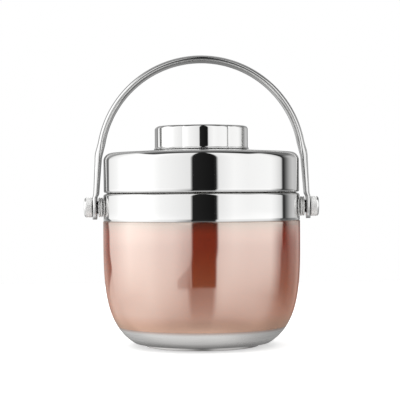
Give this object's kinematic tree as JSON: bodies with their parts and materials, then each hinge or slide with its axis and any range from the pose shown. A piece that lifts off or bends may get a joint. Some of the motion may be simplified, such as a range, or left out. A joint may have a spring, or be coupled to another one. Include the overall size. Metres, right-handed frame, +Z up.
{
  "type": "insulated lunch box",
  "caption": "Round insulated lunch pot of coppery lacquered steel with a polished collar, a screw-on polished lid with a lobed knob, and a swinging bail on side pivots.",
  "frame": {"origin": "middle of the foot ring, on the table", "axes": "+Z up along the pot's axis; +X towards the right-hand pivot of the bail; +Y away from the viewer of the front, so the front faces -Y"},
  "size_m": [0.1728, 0.145, 0.2137],
  "materials": {
    "lacquer": "gloss",
    "polished_steel": "mirror",
    "satin_steel": "satin",
    "white_plastic": "satin",
    "grey_plastic": "matte",
    "silicone": "matte",
    "foam": "matte"
  },
  "bodies": {
    "vessel": {"outer_shell": "lacquer", "base_cup": "satin_steel", "base_cover": "satin_steel", "inner_liner": "satin_steel", "collar_band": "polished_steel", "neck_ring": "white_plastic", "pivot_ear_right": "polished_steel", "pivot_washer_right": "polished_steel", "spacer_washer_right": "grey_plastic", "pivot_stud_right": "satin_steel", "cap_nut_right": "polished_steel", "pivot_ear_left": "polished_steel", "pivot_washer_left": "polished_steel", "spacer_washer_left": "grey_plastic", "pivot_stud_left": "satin_steel", "cap_nut_left": "polished_steel"},
    "bail": {"bail": "polished_steel", "bail_bush_right": "grey_plastic", "bail_bush_left": "grey_plastic"},
    "gasket": {"lid_gasket": "silicone"},
    "lid": {"lid_shell": "polished_steel", "inner_lid": "white_plastic", "lid_insulation": "foam", "lid_knob": "polished_steel", "knob_core": "grey_plastic", "knob_screw": "satin_steel"}
  },
  "joints": [
    {"name": "bail_swing", "type": "hinge", "parent": "vessel", "child": "bail", "pos_m": [0, 0, 0.10219], "axis": [1, 0, 0], "range_deg": [-135, 135]},
    {"name": "lid_rise", "type": "slide", "parent": "vessel", "child": "gasket", "axis": [0, 0, 1], "range_m": [0, 0.00301]},
    {"name": "lid_turn", "type": "hinge", "parent": "gasket", "child": "lid", "pos_m": [0, 0, 0.1265], "axis": [0, 0, 1], "range_deg": [0, 45]}
  ],
  "couplings": [
    {"joint": "lid_rise", "follows": "lid_turn", "m_per_rad": 0.0038197}
  ]
}
